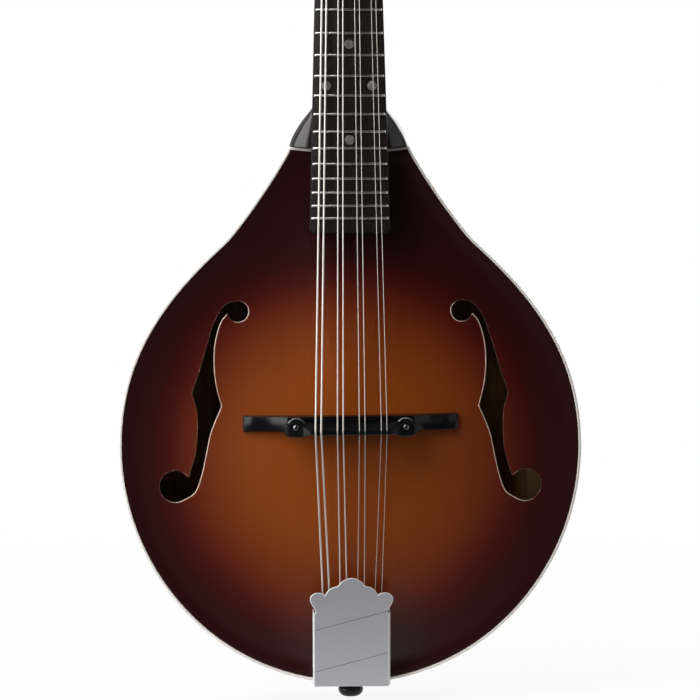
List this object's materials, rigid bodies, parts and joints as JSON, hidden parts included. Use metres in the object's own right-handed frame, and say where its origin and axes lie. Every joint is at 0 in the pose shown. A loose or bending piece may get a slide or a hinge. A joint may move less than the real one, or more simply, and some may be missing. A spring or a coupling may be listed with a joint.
{
  "type": "a-style mandolin",
  "caption": "Teardrop-bodied mandolin with carved plates, f-holes, adjustable bridge, sliding tailpiece cover and geared worm tuners.",
  "frame": {"origin": "where a wall hanger's yoke holds the neck: the back of the neck below the string nut, on the centreline", "axes": "+Z along the body's centreline toward the headstock, -Y out of the soundboard, +X toward the treble strings"},
  "size_m": [0.248, 0.1083, 0.6547],
  "materials": {
    "soundboard": "gloss sunburst lacquer over spruce, amber middle to near-black edge",
    "maple": "gloss dark red-brown lacquer over maple",
    "block_wood": "bare mahogany",
    "bare_spruce": "bare spruce",
    "binding": "cream binding under lacquer",
    "neck_wood": "gloss black-brown lacquer",
    "black_plate": "gloss black",
    "rosewood": "oiled dark rosewood with nickel silver frets",
    "ebony": "polished ebony",
    "bone": "polished bone",
    "nickel": "satin nickel plate",
    "steel": "plain steel",
    "brass": "machined brass",
    "knob": "ivory-coloured plastic",
    "wound_wire": "wound nickel wire",
    "plain_wire": "plain steel wire"
  },
  "bodies": {
    "root": {"top_plate": "soundboard", "back_plate": "maple", "rib_bass": "maple", "rib_treble": "maple", "neck_block": "block_wood", "tail_block": "block_wood", "top_lining_bass": "bare_spruce", "top_lining_treble": "bare_spruce", "back_lining_bass": "bare_spruce", "back_lining_treble": "bare_spruce", "tone_bar_bass": "bare_spruce", "tone_bar_treble": "bare_spruce", "top_binding": "binding", "neck": "neck_wood", "truss_rod": "steel", "truss_rod_cover": "black_plate", "headstock_overlay": "black_plate", "fingerboard": "rosewood", "fingerboard_riser": "ebony", "nut": "bone", "bridge_base": "ebony", "bridge_stud_bass": "steel", "bridge_stud_treble": "steel", "tailpiece_base": "steel", "end_pin": "ebony", "tuner_plate_bass": "nickel", "tuner_plate_treble": "nickel", "string_g1": "wound_wire", "string_g2": "wound_wire", "string_d1": "wound_wire", "string_d2": "wound_wire", "string_a1": "plain_wire", "string_a2": "plain_wire", "string_e1": "plain_wire", "string_e2": "plain_wire"},
    "saddle": {"bridge_saddle": "ebony"},
    "wheel_bass": {"thumbwheel_bass": "nickel"},
    "wheel_treble": {"thumbwheel_treble": "nickel"},
    "tail_cover": {"tailpiece_cover": "nickel"},
    "rod_nut": {"truss_rod_nut": "brass"},
    "post_1": {"tuning_post_1": "nickel"},
    "tuner_1": {"tuner_button_1": "knob"},
    "post_2": {"tuning_post_2": "nickel"},
    "tuner_2": {"tuner_button_2": "knob"},
    "post_3": {"tuning_post_3": "nickel"},
    "tuner_3": {"tuner_button_3": "knob"},
    "post_4": {"tuning_post_4": "nickel"},
    "tuner_4": {"tuner_button_4": "knob"},
    "post_5": {"tuning_post_5": "nickel"},
    "tuner_5": {"tuner_button_5": "knob"},
    "post_6": {"tuning_post_6": "nickel"},
    "tuner_6": {"tuner_button_6": "knob"},
    "post_7": {"tuning_post_7": "nickel"},
    "tuner_7": {"tuner_button_7": "knob"},
    "post_8": {"tuning_post_8": "nickel"},
    "tuner_8": {"tuner_button_8": "knob"}
  },
  "joints": [
    {"name": "saddle_lift", "type": "slide", "parent": "root", "child": "saddle", "axis": [0, -1, 0], "range_m": [-0.00035, 0.0014], "deforming": ["string_g1", "string_g2", "string_d1", "string_d2", "string_a1", "string_a2", "string_e1", "string_e2"]},
    {"name": "thumbwheel_bass_turn", "type": "hinge", "parent": "saddle", "child": "wheel_bass", "pos_m": [-0.0289, -0.04372, -0.34895], "axis": [0, -1, 0], "range_deg": [-185, 725]},
    {"name": "thumbwheel_treble_turn", "type": "hinge", "parent": "saddle", "child": "wheel_treble", "pos_m": [0.0289, -0.04372, -0.34895], "axis": [0, -1, 0], "range_deg": [-185, 725]},
    {"name": "tail_cover_slide", "type": "slide", "parent": "root", "child": "tail_cover", "axis": [0, -0.1392, 0.9903], "range_m": [0, 0.025]},
    {"name": "truss_rod_nut_turn", "type": "hinge", "parent": "root", "child": "rod_nut", "pos_m": [0, -0.00962, 0.00827], "axis": [0, 0.0872, 0.9962], "range_deg": [-180, 180]},
    {"name": "tuner_1_turn", "type": "hinge", "parent": "root", "child": "tuner_1", "pos_m": [-0.019, 0.01686, 0.03969], "axis": [-1, 0, 0], "continuous": true},
    {"name": "post_1_turn", "type": "hinge", "parent": "root", "child": "post_1", "pos_m": [-0.019, 0.00069, 0.05232], "axis": [0, -0.9397, 0.342], "continuous": true},
    {"name": "tuner_2_turn", "type": "hinge", "parent": "root", "child": "tuner_2", "pos_m": [-0.019, 0.02473, 0.06131], "axis": [-1, 0, 0], "continuous": true},
    {"name": "post_2_turn", "type": "hinge", "parent": "root", "child": "post_2", "pos_m": [-0.019, 0.00855, 0.07393], "axis": [0, -0.9397, 0.342], "continuous": true},
    {"name": "tuner_3_turn", "type": "hinge", "parent": "root", "child": "tuner_3", "pos_m": [-0.019, 0.0326, 0.08292], "axis": [-1, 0, 0], "continuous": true},
    {"name": "post_3_turn", "type": "hinge", "parent": "root", "child": "post_3", "pos_m": [-0.019, 0.01642, 0.09555], "axis": [0, -0.9397, 0.342], "continuous": true},
    {"name": "tuner_4_turn", "type": "hinge", "parent": "root", "child": "tuner_4", "pos_m": [-0.019, 0.04046, 0.10453], "axis": [-1, 0, 0], "continuous": true},
    {"name": "post_4_turn", "type": "hinge", "parent": "root", "child": "post_4", "pos_m": [-0.019, 0.02429, 0.11716], "axis": [0, -0.9397, 0.342], "continuous": true},
    {"name": "tuner_5_turn", "type": "hinge", "parent": "root", "child": "tuner_5", "pos_m": [0.019, 0.01686, 0.03969], "axis": [1, 0, 0], "continuous": true},
    {"name": "post_5_turn", "type": "hinge", "parent": "root", "child": "post_5", "pos_m": [0.019, 0.00069, 0.05232], "axis": [0, -0.9397, 0.342], "continuous": true},
    {"name": "tuner_6_turn", "type": "hinge", "parent": "root", "child": "tuner_6", "pos_m": [0.019, 0.02473, 0.06131], "axis": [1, 0, 0], "continuous": true},
    {"name": "post_6_turn", "type": "hinge", "parent": "root", "child": "post_6", "pos_m": [0.019, 0.00855, 0.07393], "axis": [0, -0.9397, 0.342], "continuous": true},
    {"name": "tuner_7_turn", "type": "hinge", "parent": "root", "child": "tuner_7", "pos_m": [0.019, 0.0326, 0.08292], "axis": [1, 0, 0], "continuous": true},
    {"name": "post_7_turn", "type": "hinge", "parent": "root", "child": "post_7", "pos_m": [0.019, 0.01642, 0.09555], "axis": [0, -0.9397, 0.342], "continuous": true},
    {"name": "tuner_8_turn", "type": "hinge", "parent": "root", "child": "tuner_8", "pos_m": [0.019, 0.04046, 0.10453], "axis": [1, 0, 0], "continuous": true},
    {"name": "post_8_turn", "type": "hinge", "parent": "root", "child": "post_8", "pos_m": [0.019, 0.02429, 0.11716], "axis": [0, -0.9397, 0.342], "continuous": true}
  ],
  "couplings": [
    {"joint": "thumbwheel_bass_turn", "follows": "saddle_lift", "rad_per_m": 8976},
    {"joint": "thumbwheel_treble_turn", "follows": "saddle_lift", "rad_per_m": 8976},
    {"joint": "post_1_turn", "follows": "tuner_1_turn", "ratio": 0.071429},
    {"joint": "post_2_turn", "follows": "tuner_2_turn", "ratio": 0.071429},
    {"joint": "post_3_turn", "follows": "tuner_3_turn", "ratio": 0.071429},
    {"joint": "post_4_turn", "follows": "tuner_4_turn", "ratio": 0.071429},
    {"joint": "post_5_turn", "follows": "tuner_5_turn", "ratio": -0.071429},
    {"joint": "post_6_turn", "follows": "tuner_6_turn", "ratio": -0.071429},
    {"joint": "post_7_turn", "follows": "tuner_7_turn", "ratio": -0.071429},
    {"joint": "post_8_turn", "follows": "tuner_8_turn", "ratio": -0.071429}
  ]
}
